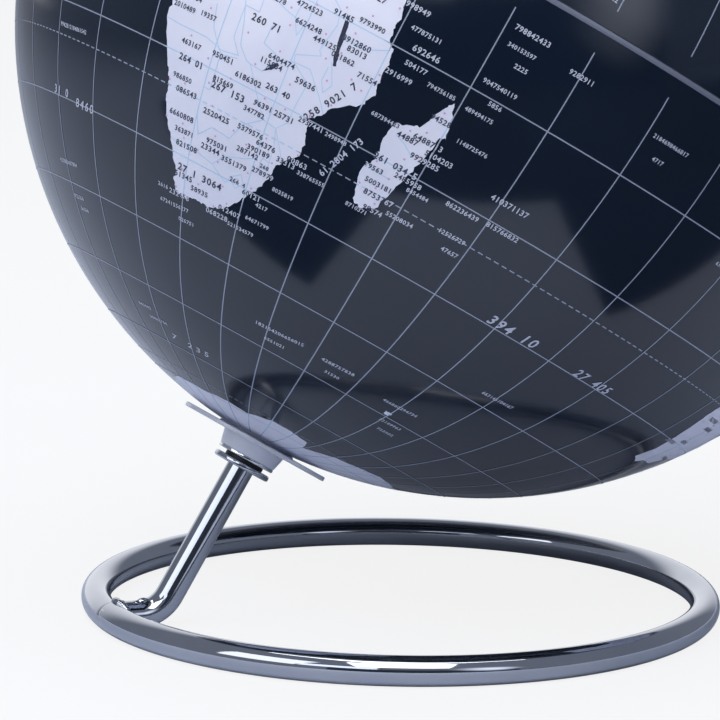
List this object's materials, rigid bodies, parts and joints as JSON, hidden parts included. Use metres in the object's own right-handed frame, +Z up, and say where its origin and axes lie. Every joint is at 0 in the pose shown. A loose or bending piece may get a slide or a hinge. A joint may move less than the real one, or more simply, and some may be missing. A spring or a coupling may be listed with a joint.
{
  "type": "desktop globe",
  "caption": "Desktop globe: a glossy dark ball with a silver map turns on a tilted axis, held at its south pole by a bent chromed post that rises from a chromed ring base.",
  "frame": {"origin": "centre of the base ring, on the plane of the desk that it rests on", "axes": "+Z up; the ball's axis lies in the XZ plane and leans 30.3 degrees towards +X, and the post meets the ring on the -X side"},
  "size_m": [0.25, 0.25, 0.2825],
  "materials": {
    "chrome": "polished chrome plate on round steel rod",
    "steel": "plain zinc-plated steel",
    "dark_nylon": "dark nylon, satin",
    "shell_plastic": "moulded half balls, satin inside",
    "map_print": "glossy near-black map print with silver-white land",
    "band_strip": "light grey strip, glossy",
    "clear_plastic": "clear disc, polished",
    "frosted_plastic": "frosted translucent plastic",
    "bright_trim": "bright metallised ring",
    "bush_plastic": "white acetal"
  },
  "bodies": {
    "stand": {"base_ring": "chrome", "stand_post": "chrome", "foot_weld": "chrome", "post_disc": "chrome", "thrust_washer": "dark_nylon", "axle_pin": "steel", "axle_washer": "steel", "spring_washer": "steel", "lock_nut": "steel"},
    "ball": {"south_shell": "shell_plastic", "north_shell": "shell_plastic", "south_map_film": "map_print", "north_map_film": "map_print", "equator_band": "band_strip", "joining_ring": "shell_plastic", "pole_disc": "clear_plastic", "hub_collar": "frosted_plastic", "collar_trim_ring": "bright_trim", "lower_bush": "bush_plastic", "upper_bush": "bush_plastic", "backing_plate": "shell_plastic", "clamp_nut": "bush_plastic"}
  },
  "joints": [
    {"name": "ball_spin", "type": "hinge", "parent": "stand", "child": "ball", "pos_m": [0.021, 0, 0.1575], "axis": [0.5045, 0, 0.8634], "continuous": true}
  ]
}
